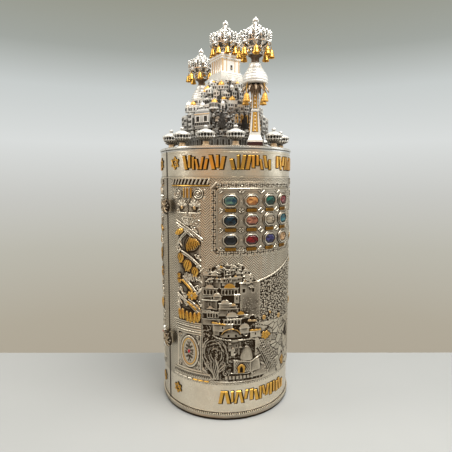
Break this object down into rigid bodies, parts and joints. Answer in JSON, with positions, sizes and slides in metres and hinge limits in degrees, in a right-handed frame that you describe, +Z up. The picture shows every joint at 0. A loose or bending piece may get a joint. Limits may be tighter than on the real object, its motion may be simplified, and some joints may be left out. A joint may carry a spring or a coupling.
{
  "type": "torah scroll case",
  "caption": "Upright round case for a scroll, in embossed silver with gilding, two hinged hollow halves, a gem-set breastplate, finials and a small city on top.",
  "frame": {"origin": "middle of the underside of the closed case", "axes": "+Z up, the split between the halves lies in x = 0, the clasps face -Y, the hinges are at +Y and the breastplate faces +X"},
  "size_m": [0.307, 0.3112, 0.8469],
  "materials": {
    "warm_silver": "embossed silver plate, warm tarnish in the hollows",
    "bright_silver": "polished silver plate",
    "dark_silver": "oxidised silver, bright on its edges",
    "gilt": "bright gilding",
    "dark_red": "dark red polish",
    "lining": "velvet",
    "gem_blue_gold": "cut glass, blue with yellow lights",
    "gem_amber": "cut glass",
    "gem_green": "cut glass",
    "gem_garnet": "cut glass",
    "gem_dark_blue": "cut glass",
    "gem_rose": "cut glass",
    "gem_clear": "cut glass, nearly clear",
    "gem_teal": "cut glass",
    "gem_black": "polished black stone",
    "gem_ruby": "cut glass",
    "gem_violet": "cut glass",
    "gem_cream": "cut glass"
  },
  "bodies": {
    "left_half": {"left_case": "warm_silver", "left_base_ring": "warm_silver", "left_top_ring": "bright_silver", "left_landscape": "dark_silver", "left_front_pillar": "warm_silver", "left_back_pillar": "warm_silver", "left_finial_foot": "dark_red", "left_finial_column": "bright_silver", "left_finial_crown": "bright_silver", "left_bowl_1": "bright_silver", "left_bowl_2": "bright_silver", "left_bowl_3": "bright_silver", "left_bowl_4": "bright_silver", "left_bowl_5": "bright_silver", "left_bowl_6": "bright_silver", "tablet_plate": "warm_silver", "city": "dark_silver", "temple": "bright_silver", "temple_crown": "bright_silver", "upper_hinge_left_leaf": "warm_silver", "upper_hinge_pin": "gilt", "upper_hasp_post": "dark_silver", "lower_hinge_left_leaf": "warm_silver", "lower_hinge_pin": "gilt", "lower_hasp_post": "dark_silver"},
    "right_half": {"right_case": "warm_silver", "right_base_ring": "warm_silver", "right_top_ring": "bright_silver", "right_landscape": "dark_silver", "right_front_pillar": "warm_silver", "right_back_pillar": "warm_silver", "right_finial_foot": "dark_red", "right_finial_column": "bright_silver", "right_finial_crown": "bright_silver", "right_bowl_1": "bright_silver", "right_bowl_2": "bright_silver", "right_bowl_3": "bright_silver", "right_bowl_4": "bright_silver", "right_bowl_5": "bright_silver", "right_bowl_6": "bright_silver", "breastplate": "warm_silver", "gem_1": "gem_blue_gold", "gem_2": "gem_amber", "gem_3": "gem_green", "gem_4": "gem_garnet", "gem_5": "gem_dark_blue", "gem_6": "gem_rose", "gem_7": "gem_clear", "gem_8": "gem_teal", "gem_9": "gem_black", "gem_10": "gem_ruby", "gem_11": "gem_violet", "gem_12": "gem_cream", "upper_hinge_right_leaf": "warm_silver", "upper_hasp_peg": "dark_silver", "lower_hinge_right_leaf": "warm_silver", "lower_hasp_peg": "dark_silver"},
    "upper_hasp": {"upper_hasp": "dark_silver"},
    "lower_hasp": {"lower_hasp": "dark_silver"}
  },
  "joints": [
    {"name": "case_hinge", "type": "hinge", "parent": "left_half", "child": "right_half", "pos_m": [0, 0.15, 0], "axis": [0, 0, 1], "range_deg": [0, 180]},
    {"name": "upper_hasp_turn", "type": "hinge", "parent": "left_half", "child": "upper_hasp", "pos_m": [-0.009, -0.1525, 0], "axis": [0, 0, -1], "range_deg": [0, 110]},
    {"name": "lower_hasp_turn", "type": "hinge", "parent": "left_half", "child": "lower_hasp", "pos_m": [-0.009, -0.1525, 0], "axis": [0, 0, -1], "range_deg": [0, 110]}
  ]
}
